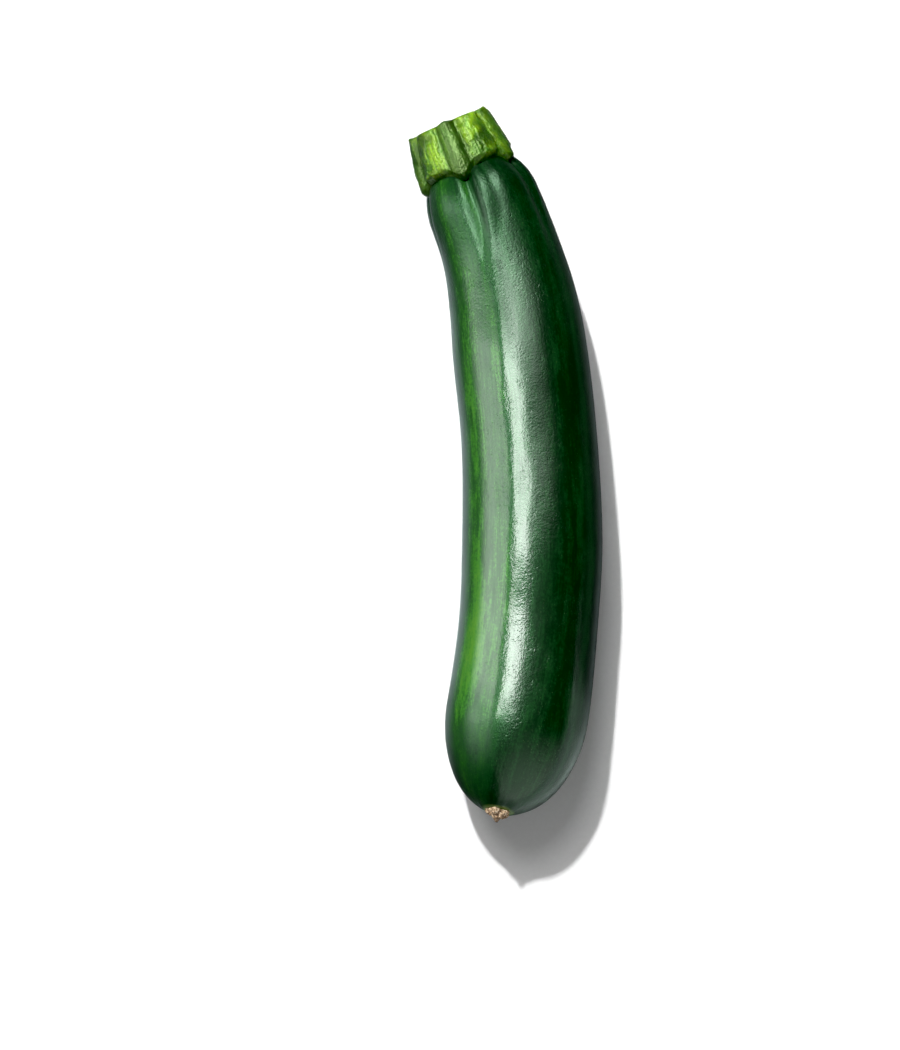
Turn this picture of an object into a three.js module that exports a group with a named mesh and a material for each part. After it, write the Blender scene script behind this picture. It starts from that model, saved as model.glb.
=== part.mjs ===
// A courgette lying on its side: the bent, five-furrowed fruit, its ribbed and cut-off stalk, and the
// corky scar that the flower left on the other end.
//
// Millimetres. +X runs along the fruit towards the stalk and +Z is up. The hollow side of the bend faces +Y.
// The origin is on the surface that the courgette rests on, under the middle of its bounding box.

import * as THREE from 'three';

// ---- Driving dimensions ----

// The fruit and its stalk share one bent middle line. Each station gives, in millimetres, how far along it
// is, where the middle line passes, the radius of the round body there, and how deep the five furrows are.
// `turn` is the angle, in degrees, from the top to the first furrow, towards +Y: the furrows wind a little.
const STATIONS = [
  { along: -97, sideways: 3.8, height: 19.8, radius: 19.9, furrow: 0.15, turn: 20 },
  { along: -80, sideways: -0.6, height: 19.2, radius: 19.4, furrow: 0.15, turn: 20 },
  { along: -64, sideways: -3.7, height: 18.9, radius: 19.2, furrow: 0.12, turn: 20 },
  { along: -43, sideways: -6.1, height: 18.5, radius: 18.8, furrow: 0.1, turn: 18 },
  { along: -21, sideways: -7.1, height: 18.6, radius: 19.0, furrow: 0.1, turn: 17 },
  { along: 6, sideways: -6.3, height: 18.0, radius: 18.4, furrow: 0.1, turn: 17 },
  { along: 30, sideways: -3.8, height: 17.7, radius: 18.2, furrow: 0.1, turn: 17 },
  { along: 44, sideways: -1.8, height: 17.1, radius: 17.3, furrow: 0.15, turn: 16 },
  { along: 57, sideways: 1.4, height: 17.0, radius: 16.0, furrow: 0.3, turn: 14 },
  { along: 69, sideways: 5.8, height: 17.2, radius: 15.4, furrow: 0.9, turn: 11 },
  { along: 77, sideways: 9.4, height: 17.5, radius: 15.3, furrow: 1.6, turn: 9 },
  { along: 96, sideways: 17.6, height: 18.6, radius: 15.3, furrow: 1.6, turn: 8 },
];

const FURROWS = 5;
const FURROW_HALF_WIDTH = 8; // degrees around the fruit, to where the furrow is about a third as deep
const LOBE_SHARE = 0.2; // how far the flesh between furrows swells, as a share of the furrow's depth

const BLOSSOM_TIP = -94.9; // where the fruit's round end closes
const BLOSSOM_ROUNDING = 27.5; // length of the half ellipse that closes it
const SHOULDER_TIP = 84.2; // where the fruit closes, hidden in the hollow of the stalk
const SHOULDER_ROUNDING = 15.5;

const SEAM_AT_RIBS = 76.2; // where the stalk meets the fruit under each of its ribs
const SEAM_ARCH = 2.7; // how much further the fruit reaches up between the ribs
const SEAM_DIP_HALF_WIDTH = 12; // degrees
const SEAM_GAP = 0.3; // clearance between the fruit and the hollow of the stalk

const STALK_CUT = 91.3; // where the knife went through, between the ribs
const STALK_CUT_RISE = 0.35; // how much further each main rib reaches
const STALK_CUT_BEVEL = 0.35; // the bruised edge of the cut
const STALK_CUT_RADIUS = 11.1;
const STALK_BASE_RADIUS = 13.5;
const STALK_LIP = 2; // how far the stalk's edge rounds in to the seam
const STALK_RIB = 0.7; // height of the five main ribs over the panels
const STALK_RIB_HALF_WIDTH = 7; // degrees
const STALK_GROOVE = 0.95; // depth of the groove on each side of a main rib
const STALK_GROOVE_ANGLE = 15; // degrees from the rib
const STALK_GROOVE_HALF_WIDTH = 5; // degrees
const STALK_GROOVE_FADE = 0.55; // how much of its depth a groove has lost where it reaches the fruit
const STALK_PANEL_RIDGE = 0.35; // the low ridge along the middle of each panel
const STALK_PANEL_RIDGE_HALF_WIDTH = 13; // degrees
const CUT_DISH = 0.6; // how far the cut face sinks at its middle

const SCAR_ABOVE_TIP = 5; // the scar's middle, over the fruit's tip
const SCAR_BESIDE_TIP = -0.8; // and towards +Y of it
const SCAR_RADIUS = 3.2;
const SCAR_HEIGHT = 1.5; // over the skin, at the lumps
const SCAR_MIDDLE_SHARE = 0.6; // height inside the ring of lumps, as a share of theirs
const SCAR_LUMPS = 5; // bases of the fallen petals
const SCAR_LUMP_SHARE = 0.3; // how much of the height the gaps between the lumps lack
const SCAR_OUTLINE_SHARE = 0.1; // how far the lumps stand out of the round outline
const STYLE_RADIUS = 0.9; // the dried stub in the scar's middle
const STYLE_HEIGHT = 2;

const FRUIT_COLUMNS = 60;
const FRUIT_TIP_RINGS = 12;
const FRUIT_BODY_RINGS = 30;
const STALK_COLUMNS = 80;
const SCAR_COLUMNS = 30;

// ---- The shared middle line and sections ----

/** One column of the stations at any place along the fruit: a smooth curve through all of them. */
function stationValue(column, along) {
  const end = STATIONS.length - 1;
  const place = THREE.MathUtils.clamp(along, STATIONS[0].along, STATIONS[end].along);
  const next = Math.max(1, STATIONS.findIndex((station) => station.along >= place));
  const slope = (index) => {
    const before = STATIONS[Math.max(index - 1, 0)];
    const after = STATIONS[Math.min(index + 1, end)];
    return (after[column] - before[column]) / (after.along - before.along);
  };
  const [from, to] = [STATIONS[next - 1], STATIONS[next]];
  const span = to.along - from.along;
  const t = (place - from.along) / span;
  const blend = 3 * t ** 2 - 2 * t ** 3;
  const bend = (t ** 3 - 2 * t ** 2 + t) * slope(next - 1) + (t ** 3 - t ** 2) * slope(next);
  return THREE.MathUtils.lerp(from[column], to[column], blend) + span * bend;
}

function middle(along) {
  return new THREE.Vector3(along, stationValue('sideways', along), stationValue('height', along));
}

/** Directions of the section that crosses the middle line squarely: ahead, up and sideways. */
function sectionAxes(along) {
  const step = 0.5;
  const ahead = middle(along + step).sub(middle(along - step)).normalize();
  const sideways = new THREE.Vector3(0, 0, 1).cross(ahead).normalize();
  const up = ahead.clone().cross(sideways);
  return { ahead, up, sideways };
}

/** The point at a distance from the middle line, at degrees from the first furrow towards +Y. */
function sectionPoint(along, angle, distance) {
  const { up, sideways } = sectionAxes(along);
  const turned = THREE.MathUtils.degToRad(angle + stationValue('turn', along));
  return middle(along)
    .addScaledVector(up, distance * Math.cos(turned))
    .addScaledVector(sideways, distance * Math.sin(turned));
}

/** A bell curve over degrees, 1 at zero. */
function bell(degrees, halfWidth) {
  return Math.exp(-((degrees / halfWidth) ** 2));
}

/** Degrees from the nearest of the five furrows, where `angle` is measured from the first one. */
function fromFurrow(angle) {
  const spacing = 360 / FURROWS;
  return angle - spacing * Math.round(angle / spacing);
}

// ---- Fruit ----

/** 1 along the body, falling to 0 at both tips as half ellipses. */
function rounding(along) {
  const fromTip = (distance, length) => {
    const level = 1 - THREE.MathUtils.clamp(distance / length, 0, 1);
    return Math.sqrt(1 - level ** 2);
  };
  return fromTip(along - BLOSSOM_TIP, BLOSSOM_ROUNDING) * fromTip(SHOULDER_TIP - along, SHOULDER_ROUNDING);
}

function fruitRadius(along, angle) {
  const offset = fromFurrow(angle);
  const swell = LOBE_SHARE * (1 - Math.cos(THREE.MathUtils.degToRad(FURROWS * offset)));
  const relief = stationValue('furrow', along) * (swell - bell(offset, FURROW_HALF_WIDTH));
  return (stationValue('radius', along) + relief) * rounding(along);
}

/** A point of the fruit's skin. Its underside is flattened where it rests. */
function fruitPoint(along, angle) {
  const point = sectionPoint(along, angle, fruitRadius(along, angle));
  point.z = Math.max(point.z, 0);
  return point;
}

/** Places of the sections: crowded towards both tips, as a half ellipse needs, and even along the body. */
function fruitPlaces() {
  const bodyStart = BLOSSOM_TIP + BLOSSOM_ROUNDING;
  const bodyEnd = SHOULDER_TIP - SHOULDER_ROUNDING;
  const fromTip = (ring) => 1 - Math.cos((ring / FRUIT_TIP_RINGS) * (Math.PI / 2));
  const tipRings = Array.from({ length: FRUIT_TIP_RINGS - 1 }, (_, index) => index + 1);
  const bodyRings = Array.from({ length: FRUIT_BODY_RINGS + 1 }, (_, index) => index / FRUIT_BODY_RINGS);
  return [
    ...tipRings.map((ring) => BLOSSOM_TIP + BLOSSOM_ROUNDING * fromTip(ring)),
    ...bodyRings.map((share) => THREE.MathUtils.lerp(bodyStart, bodyEnd, share)),
    ...tipRings.reverse().map((ring) => SHOULDER_TIP - SHOULDER_ROUNDING * fromTip(ring)),
  ];
}

// ---- Closed skins over rings of points ----

/** The angles of one ring, in degrees. */
function ringAngles(columns) {
  return Array.from({ length: columns }, (_, column) => (360 * column) / columns);
}

/** A closed geometry over rings that follow each other towards +X, with one point closing each end. */
function closedSkin(firstPoint, rings, lastPoint) {
  const columns = rings[0].length;
  const points = [firstPoint, ...rings.flat(), lastPoint];
  const indices = [];
  const vertex = (ring, column) => 1 + ring * columns + (column % columns);
  for (let column = 0; column < columns; column += 1) {
    indices.push(0, vertex(0, column), vertex(0, column + 1));
    for (let ring = 0; ring + 1 < rings.length; ring += 1) {
      const [a, b] = [vertex(ring, column), vertex(ring, column + 1)];
      const [c, d] = [vertex(ring + 1, column), vertex(ring + 1, column + 1)];
      indices.push(a, c, b, b, c, d);
    }
    indices.push(points.length - 1, vertex(rings.length - 1, column + 1), vertex(rings.length - 1, column));
  }
  const geometry = new THREE.BufferGeometry().setFromPoints(points);
  geometry.setIndex(indices);
  geometry.computeVertexNormals();
  return geometry;
}

function fruitGeometry() {
  const angles = ringAngles(FRUIT_COLUMNS);
  const rings = fruitPlaces().map((along) => angles.map((angle) => fruitPoint(along, angle)));
  return closedSkin(middle(BLOSSOM_TIP), rings, middle(SHOULDER_TIP));
}

// ---- Stalk ----

/** Where the stalk's edge lies on the fruit: down on the furrows, arched up over the flesh between them. */
function seamPlace(angle) {
  return SEAM_AT_RIBS + SEAM_ARCH * (1 - bell(fromFurrow(angle), SEAM_DIP_HALF_WIDTH));
}

/** The stalk's outside: panels between five main ribs, each rib between two grooves, flaring to the fruit. */
function stalkRadius(along, angle) {
  const offset = fromFurrow(angle);
  const down = THREE.MathUtils.clamp((STALK_CUT - along) / (STALK_CUT - SEAM_AT_RIBS), 0, 1);
  const panel = THREE.MathUtils.lerp(STALK_CUT_RADIUS, STALK_BASE_RADIUS, Math.sin((down * Math.PI) / 2));
  const rib = STALK_RIB * bell(offset, STALK_RIB_HALF_WIDTH);
  const groove = STALK_GROOVE * bell(Math.abs(offset) - STALK_GROOVE_ANGLE, STALK_GROOVE_HALF_WIDTH);
  const ridge = STALK_PANEL_RIDGE * bell(Math.abs(offset) - 180 / FURROWS, STALK_PANEL_RIDGE_HALF_WIDTH);
  return panel + rib + ridge - groove * (1 - STALK_GROOVE_FADE * down);
}

/** A ring of the stalk's hollow, which follows the fruit's shoulder. `share` is 0 at the seam. */
function hollowRing(angles, share) {
  return angles.map((angle) => {
    const along = THREE.MathUtils.lerp(seamPlace(angle), SHOULDER_TIP, share);
    const point = sectionPoint(along, angle, fruitRadius(along, angle) + SEAM_GAP);
    return point.addScaledVector(sectionAxes(along).ahead, SEAM_GAP * share);
  });
}

/** Where the cut ends the stalk: the stringy main ribs stand a little proud. */
function cutPlace(angle) {
  return STALK_CUT + STALK_CUT_RISE * bell(fromFurrow(angle), STALK_RIB_HALF_WIDTH);
}

/** A ring of the stalk's outside. `share` is 0 at the seam and 1 at the cut. */
function stalkRing(angles, share) {
  return angles.map((angle) => {
    const along = THREE.MathUtils.lerp(seamPlace(angle), cutPlace(angle) - STALK_CUT_BEVEL, share);
    const tucked = 1 - Math.min((along - seamPlace(angle)) / STALK_LIP, 1);
    const outside = stalkRadius(along, angle);
    const skin = fruitRadius(along, angle) + SEAM_GAP;
    return sectionPoint(along, angle, THREE.MathUtils.lerp(outside, Math.min(outside, skin), tucked ** 2));
  });
}

/** A ring of the cut face, which sinks a little from its rim to its middle. `share` is 1 at the rim. */
function cutRing(angles, share) {
  return angles.map((angle) => {
    const along = THREE.MathUtils.lerp(STALK_CUT - CUT_DISH, cutPlace(angle), share ** 3);
    return sectionPoint(along, angle, (stalkRadius(STALK_CUT, angle) - STALK_CUT_BEVEL) * share);
  });
}

function stalkGeometry() {
  const angles = ringAngles(STALK_COLUMNS);
  const hollowShares = [0.97, 0.88, 0.7, 0.45, 0.2, 0];
  const sideShares = [0.03, 0.08, 0.15, 0.26, 0.4, 0.55, 0.7, 0.85, 1];
  const cutShares = [1, 0.9, 0.6, 0.3];
  const rings = [
    ...hollowShares.map((share) => hollowRing(angles, share)),
    ...sideShares.map((share) => stalkRing(angles, share)),
    ...cutShares.map((share) => cutRing(angles, share)),
  ];
  return closedSkin(middle(SHOULDER_TIP + SEAM_GAP), rings, middle(STALK_CUT - CUT_DISH));
}

// ---- Scar ----

/** 1 on the lumps round the scar and -1 in the gaps between them. */
function scarLump(angle) {
  return Math.cos(THREE.MathUtils.degToRad(SCAR_LUMPS * angle));
}

/** A point of the scar at a share of its radius, on its hollow underside or on its lumpy top. */
function scarPoint(share, angle, onTop) {
  const tipRadius = stationValue('radius', BLOSSOM_TIP);
  const tipCurve = tipRadius ** 2 / BLOSSOM_ROUNDING;
  const distance = share * SCAR_RADIUS * (1 + SCAR_OUTLINE_SHARE * scarLump(angle));
  const underside = -(distance ** 2) / (2 * tipCurve);
  const lumps = SCAR_HEIGHT * (1 - SCAR_LUMP_SHARE * (1 - scarLump(angle)) * share);
  const edge = Math.sqrt(1 - share ** 4);
  const stub = STYLE_HEIGHT * bell(distance, STYLE_RADIUS);
  const body = edge * lumps * THREE.MathUtils.lerp(SCAR_MIDDLE_SHARE, 1, share);
  const rise = underside + (onTop ? body + stub : 0);
  const turned = THREE.MathUtils.degToRad(angle);
  return new THREE.Vector3(rise, distance * Math.sin(turned), distance * Math.cos(turned));
}

/** The scar in its own frame, where +X looks away from the fruit. */
function scarGeometry() {
  const angles = ringAngles(SCAR_COLUMNS);
  const ring = (share, onTop) => angles.map((angle) => scarPoint(share, angle, onTop));
  const underShares = [0.35, 0.7, 1];
  const topShares = [0.96, 0.85, 0.7, 0.55, 0.4, 0.28, 0.18, 0.09];
  const rings = [
    ...underShares.map((share) => ring(share, false)),
    ...topShares.map((share) => ring(share, true)),
  ];
  return closedSkin(scarPoint(0, 0, false), rings, scarPoint(0, 0, true));
}

/** Sets the scar on the fruit's rounded end, square to the skin under its middle. */
function seatScar(scar) {
  const tipRadius = stationValue('radius', BLOSSOM_TIP);
  const offset = Math.hypot(SCAR_ABOVE_TIP, SCAR_BESIDE_TIP);
  const level = Math.sqrt(1 - (offset / tipRadius) ** 2);
  const along = BLOSSOM_TIP + BLOSSOM_ROUNDING * (1 - level);
  const { ahead, up, sideways } = sectionAxes(along);
  const outward = ahead
    .multiplyScalar(-level / BLOSSOM_ROUNDING)
    .addScaledVector(up, SCAR_ABOVE_TIP / tipRadius ** 2)
    .addScaledVector(sideways, SCAR_BESIDE_TIP / tipRadius ** 2)
    .normalize();
  scar.position
    .copy(middle(along))
    .addScaledVector(up, SCAR_ABOVE_TIP)
    .addScaledVector(sideways, SCAR_BESIDE_TIP)
    .addScaledVector(outward, SEAM_GAP);
  scar.quaternion.setFromUnitVectors(new THREE.Vector3(1, 0, 0), outward);
}

// ---- The courgette ----

const skin = new THREE.MeshStandardMaterial({ color: '#12401d', roughness: 0.28, metalness: 0 });
const stalkSkin = new THREE.MeshStandardMaterial({ color: '#5d8f35', roughness: 0.5, metalness: 0 });
const cork = new THREE.MeshStandardMaterial({ color: '#b9936a', roughness: 0.85, metalness: 0 });

const fruit = new THREE.Mesh(fruitGeometry(), skin);
fruit.name = 'fruit';
const stalk = new THREE.Mesh(stalkGeometry(), stalkSkin);
stalk.name = 'stalk';
const scar = new THREE.Mesh(scarGeometry(), cork);
scar.name = 'blossom_scar';
seatScar(scar);

const courgette = new THREE.Group();
courgette.add(fruit, stalk, scar);

const centre = new THREE.Box3().setFromObject(courgette, true).getCenter(new THREE.Vector3());
courgette.position.set(-centre.x, -centre.y, 0);

export default courgette;
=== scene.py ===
"""A courgette's looks: waxy furrowed fruit, ribbed stalk with its cut face, and the flower's corky scar.

Everything is built in millimetres in the same frame as the solids: +X runs along the fruit towards the
stalk, +Z is up, and the hollow side of the bend faces +Y. Meshes are turned to metres when they are made.
"""

import functools
import itertools
import math

import bpy
import numpy as np
from mathutils import Matrix, Vector


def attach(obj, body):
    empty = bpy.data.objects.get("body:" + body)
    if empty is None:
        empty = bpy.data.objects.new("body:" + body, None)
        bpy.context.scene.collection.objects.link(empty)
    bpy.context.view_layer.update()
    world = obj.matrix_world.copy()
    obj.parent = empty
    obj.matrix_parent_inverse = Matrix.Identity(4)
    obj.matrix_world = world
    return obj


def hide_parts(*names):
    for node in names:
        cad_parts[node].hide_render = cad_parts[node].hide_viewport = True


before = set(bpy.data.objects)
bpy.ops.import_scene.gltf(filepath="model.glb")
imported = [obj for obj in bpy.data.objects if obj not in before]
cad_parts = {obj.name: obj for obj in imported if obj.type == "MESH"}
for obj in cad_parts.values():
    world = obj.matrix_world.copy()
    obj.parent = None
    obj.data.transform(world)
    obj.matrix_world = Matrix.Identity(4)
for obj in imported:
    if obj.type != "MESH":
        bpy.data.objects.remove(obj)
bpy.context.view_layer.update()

bl_info = {
    "name": "Courgette",
    "version": (1, 0, 0),
    "blender": (4, 5, 0),
    "location": "View3D > Sidebar > Courgette",
    "description": "Builds a glossy dark green courgette with its cut stalk and flower scar",
    "category": "Add Mesh",
}

MM = 0.001

# ---- Sizes that the solids share, in millimetres and degrees ----

# Along, sideways and height of the middle line, radius of the body, depth of the five furrows, and the
# angle from the top to the first furrow, towards +Y.
STATIONS = np.array(
    [
        (-97, 3.8, 19.8, 19.9, 0.15, 20),
        (-80, -0.6, 19.2, 19.4, 0.15, 20),
        (-64, -3.7, 18.9, 19.2, 0.12, 20),
        (-43, -6.1, 18.5, 18.8, 0.1, 18),
        (-21, -7.1, 18.6, 19.0, 0.1, 17),
        (6, -6.3, 18.0, 18.4, 0.1, 17),
        (30, -3.8, 17.7, 18.2, 0.1, 17),
        (44, -1.8, 17.1, 17.3, 0.15, 16),
        (57, 1.4, 17.0, 16.0, 0.3, 14),
        (69, 5.8, 17.2, 15.4, 0.9, 11),
        (77, 9.4, 17.5, 15.3, 1.6, 9),
        (96, 17.6, 18.6, 15.3, 1.6, 8),
    ]
)
SIDEWAYS, HEIGHT, RADIUS, FURROW, TURN = range(1, 6)  # columns of the stations
BOX_MIDDLE = np.array((-0.6072, 0.0396, 0.0))  # of the box round all three solids, as built

FURROWS = 5
SPACING = 360 / FURROWS
FURROW_HALF_WIDTH = 8
LOBE_SHARE = 0.2
BLOSSOM_TIP = -94.9
BLOSSOM_ROUNDING = 27.5
SHOULDER_TIP = 84.2
SHOULDER_ROUNDING = 15.5

SEAM_AT_RIBS = 76.2
SEAM_ARCH = 2.7
SEAM_DIP_HALF_WIDTH = 12
STALK_CUT = 91.3
STALK_CUT_RISE = 0.35
STALK_CUT_BEVEL = 0.35
STALK_CUT_RADIUS = 11.1
STALK_BASE_RADIUS = 13.5
STALK_LIP = 2
STALK_RIB = 0.7
STALK_RIB_HALF_WIDTH = 7
STALK_GROOVE = 0.95
STALK_GROOVE_ANGLE = 15
STALK_GROOVE_HALF_WIDTH = 5
STALK_GROOVE_FADE = 0.55
STALK_PANEL_RIDGE = 0.35
STALK_PANEL_RIDGE_HALF_WIDTH = 13
CUT_DISH = 0.6

SCAR_ABOVE_TIP = 5
SCAR_BESIDE_TIP = -0.8
SCAR_RADIUS = 3.2
SCAR_HEIGHT = 1.5
SCAR_MIDDLE_SHARE = 0.6
SCAR_LUMPS = 5
SCAR_LUMP_SHARE = 0.3
SCAR_OUTLINE_SHARE = 0.1
STYLE_RADIUS = 0.9
STYLE_HEIGHT = 2

# ---- Sizes of the fine meshes ----

FRUIT_COLUMNS = 384
BLOSSOM_RINGS = 62
BODY_RINGS = 168
SHOULDER_RINGS = 18
STALK_COLUMNS = 420
STALK_HOLLOW_RINGS = 12
STALK_SIDE_RINGS = 111
STALK_CUT_RINGS = 61
SCAR_COLUMNS = 150
SCAR_UNDER_RINGS = 8
SCAR_TOP_RINGS = 54

STALK_OVER_SKIN = 0.05  # how far the stalk's rind lies off the fruit's
TOP_RIB_HALF_WIDTH = 11  # of its own colour, in degrees
SCAR_ROUGHNESS = 0.24
FRUIT_WOUND_RADIUS = 19.0  # of the straightened skins that the patterns lie on
STALK_WOUND_RADIUS = 12.0


# ---- Small helpers ----

NOISE_CELLS = 32  # on each side of the noise before it repeats


def linear(code):
    """The linear colour of an sRGB hex code such as #1b4d20, with full alpha."""
    parts = [int(code[i : i + 2], 16) / 255 for i in (1, 3, 5)]
    return (*[c / 12.92 if c <= 0.04045 else ((c + 0.055) / 1.055) ** 2.4 for c in parts], 1.0)


def unit(vectors):
    return vectors / np.linalg.norm(vectors, axis=-1, keepdims=True)


def bell(values, half_width):
    """A bell curve, 1 at zero."""
    return np.exp(-((values / half_width) ** 2))


def ramp(values, low, high):
    """0 below low, 1 above high, and smooth in between. low may be the larger one."""
    share = np.clip((values - low) / (high - low), 0, 1)
    return share * share * (3 - 2 * share)


def mix(a, b, share):
    return a + (b - a) * share


def soft_noise(places, size, seed):
    """Smooth seeded random values from -1 to 1 at places, in bumps about as large as size."""
    table = np.random.default_rng(seed).uniform(-1, 1, (NOISE_CELLS,) * 3)
    scaled = places / np.asarray(size, float)
    cell = np.floor(scaled).astype(int)
    part = scaled - cell
    part = part * part * (3 - 2 * part)
    total = np.zeros(places.shape[:-1])
    for corner in itertools.product((0, 1), repeat=3):
        weight = np.prod(np.where(corner, part, 1 - part), axis=-1)
        at = (cell + corner) % NOISE_CELLS
        total += weight * table[at[..., 0], at[..., 1], at[..., 2]]
    return total


def noises(places, waves):
    """Soft noises on top of each other. Each of the waves is a height, a size and a seed."""
    return sum(height * soft_noise(places, size, seed) for height, size, seed in waves)


# ---- The middle line and its sections ----


def station_value(column, along):
    """A column of the stations at any place along the fruit, on a smooth curve through all of them."""
    places, values = STATIONS[:, 0], STATIONS[:, column]
    rise = np.r_[values[1:], values[-1]] - np.r_[values[0], values[:-1]]
    run = np.r_[places[1:], places[-1]] - np.r_[places[0], places[:-1]]
    slopes = rise / run
    place = np.clip(along, places[0], places[-1])
    start = np.clip(np.searchsorted(places, place) - 1, 0, len(places) - 2)
    span = places[start + 1] - places[start]
    t = (place - places[start]) / span
    bend = (t**3 - 2 * t**2 + t) * slopes[start] + (t**3 - t**2) * slopes[start + 1]
    return mix(values[start], values[start + 1], 3 * t**2 - 2 * t**3) + span * bend


def middle(along):
    along = np.asarray(along, float)
    return np.stack([along, station_value(SIDEWAYS, along), station_value(HEIGHT, along)], axis=-1)


def section_axes(along):
    """Directions of the section that crosses the middle line squarely: ahead, up and sideways."""
    along = np.asarray(along, float)
    ahead = unit(middle(along + 0.5) - middle(along - 0.5))
    sideways = unit(np.cross((0.0, 0.0, 1.0), ahead))
    return ahead, np.cross(ahead, sideways), sideways


def section_point(along, angle, distance):
    """Points at a distance from the middle line, at degrees from the first furrow towards +Y."""
    _, up, sideways = section_axes(along)
    turned = np.radians(angle + station_value(TURN, along))[..., None]
    distance = np.asarray(distance, float)[..., None]
    return middle(along) + distance * (up * np.cos(turned) + sideways * np.sin(turned))


def from_furrow(angle):
    """Degrees from the nearest furrow, where the angle is measured from the first one."""
    return angle - SPACING * np.round(angle / SPACING)


def from_top(angle):
    """Degrees from the first furrow, from -180 to 180: below 0 on the shaded side, towards -Y."""
    return (angle + 180) % 360 - 180


# ---- Objects, and meshes from rings ----

CAP_STRIP = 0.01  # the share of the sheet's height that the closing fan at each end takes


def new_object(name, data):
    """An object in the scene."""
    made = bpy.data.objects.new(name, data)
    bpy.context.scene.collection.objects.link(made)
    return made


def outline_lengths(rings):
    """How far each ring lies along the outline from the first one, in millimetres."""
    steps = np.linalg.norm(np.diff(rings, axis=0), axis=-1).mean(1)
    return np.concatenate([[0], np.cumsum(steps)])


def closed_skin(name, first, rings, last, values):
    """A smooth closed mesh over rings of points that follow each other towards +X, in millimetres.

    values gives a name and one number or vector for each point of the rings, which the material reads.
    """
    count, columns = rings.shape[:2]
    points = np.concatenate([[first], rings.reshape(-1, 3), [last]]) - BOX_MIDDLE
    at = 1 + np.arange(count * columns).reshape(count, columns)
    beside = np.roll(at, -1, axis=1)
    quads = np.stack([at[:-1], at[1:], beside[1:], beside[:-1]], axis=-1).reshape(-1, 4)
    end = len(points) - 1
    caps = [(0, int(a), int(b)) for a, b in zip(at[0], beside[0])]
    caps += [(end, int(b), int(a)) for a, b in zip(at[-1], beside[-1])]
    mesh = bpy.data.meshes.new(name)
    mesh.from_pydata((points * MM).tolist(), [], quads.tolist() + caps)
    mesh.polygons.foreach_set("use_smooth", np.ones(len(mesh.polygons), bool))
    for key, field in values.items():
        field = np.asarray(field, float)
        width = 1 if field.ndim == 2 else 3
        flat = field.reshape(-1, width)
        padded = np.concatenate([[flat[:columns].mean(0)], flat, [flat[-columns:].mean(0)]])
        kind, part = ("FLOAT", "value") if width == 1 else ("FLOAT_VECTOR", "vector")
        attribute = mesh.attributes.new(key, kind, "POINT")
        attribute.data.foreach_set(part, padded.astype(np.float32).ravel())
    lay_flat(mesh, rings)
    mesh.validate()
    return new_object(name, mesh)


def lay_flat(mesh, rings):
    """Unrolls a closed skin into one sheet: round the section across, and along the outline upwards."""
    columns = rings.shape[1]
    up = outline_lengths(rings)
    up = CAP_STRIP + (1 - 2 * CAP_STRIP) * up / up[-1]
    edges = np.arange(columns + 1) / columns
    left, height = np.meshgrid(edges[:-1], up)
    right, _ = np.meshgrid(edges[1:], up)
    lower, upper = slice(None, -1), slice(1, None)
    corners = [(left, lower), (left, upper), (right, upper), (right, lower)]
    quads = [np.stack([across[part], height[part]], -1) for across, part in corners]
    sheet = [np.stack(quads, axis=2).reshape(-1, 2)]
    flat = np.zeros(columns)
    centre = (edges[:-1] + edges[1:]) / 2
    for tip, rim, a, b in ((0, up[0], edges[:-1], edges[1:]), (1, up[-1], edges[1:], edges[:-1])):
        fan = [centre, flat + tip, a, flat + rim, b, flat + rim]
        sheet.append(np.stack(fan, -1).reshape(-1, 2))
    layer = mesh.uv_layers.new(name="OFBake")
    layer.uv.foreach_set("vector", np.concatenate(sheet).astype(np.float32).ravel())


def grid_normals(rings):
    """Outward directions at the points of a closed skin's rings."""
    ahead = np.gradient(rings, axis=0)
    round_it = np.roll(rings, -1, axis=1) - np.roll(rings, 1, axis=1)
    return unit(np.cross(ahead, round_it))


def wound_places(rings, angle, radius):
    """Places on a straightened skin, in millimetres: along the outline, and on a circle of one radius."""
    along = outline_lengths(rings)[:, None] + 0 * angle
    turned = np.radians(angle)
    return np.stack([along, radius * np.cos(turned), radius * np.sin(turned)], axis=-1)


# ---- Fruit ----


def rounding(along):
    """1 along the body, falling to 0 at both tips as half ellipses."""

    def from_tip(distance, length):
        return np.sqrt(1 - (1 - np.clip(distance / length, 0, 1)) ** 2)

    blossom = from_tip(along - BLOSSOM_TIP, BLOSSOM_ROUNDING)
    return blossom * from_tip(SHOULDER_TIP - along, SHOULDER_ROUNDING)


def fruit_radius(along, angle):
    """How far the plain furrowed body reaches from the middle line."""
    offset = from_furrow(angle)
    swell = LOBE_SHARE * (1 - np.cos(np.radians(FURROWS * offset)))
    relief = station_value(FURROW, along) * (swell - bell(offset, FURROW_HALF_WIDTH))
    return (station_value(RADIUS, along) + relief) * rounding(along)


def fruit_places():
    """Places of the sections, crowded towards both tips as a half ellipse needs."""
    blossom = 1 - np.cos(np.arange(1, BLOSSOM_RINGS) / BLOSSOM_RINGS * math.pi / 2)
    shoulder = 1 - np.cos(np.arange(SHOULDER_RINGS - 1, 0, -1) / SHOULDER_RINGS * math.pi / 2)
    start, end = BLOSSOM_TIP + BLOSSOM_ROUNDING, SHOULDER_TIP - SHOULDER_ROUNDING
    body = np.linspace(start, end, BODY_RINGS + 1)
    blossom = BLOSSOM_TIP + BLOSSOM_ROUNDING * blossom
    return np.concatenate([blossom, body, SHOULDER_TIP - SHOULDER_ROUNDING * shoulder])


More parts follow.
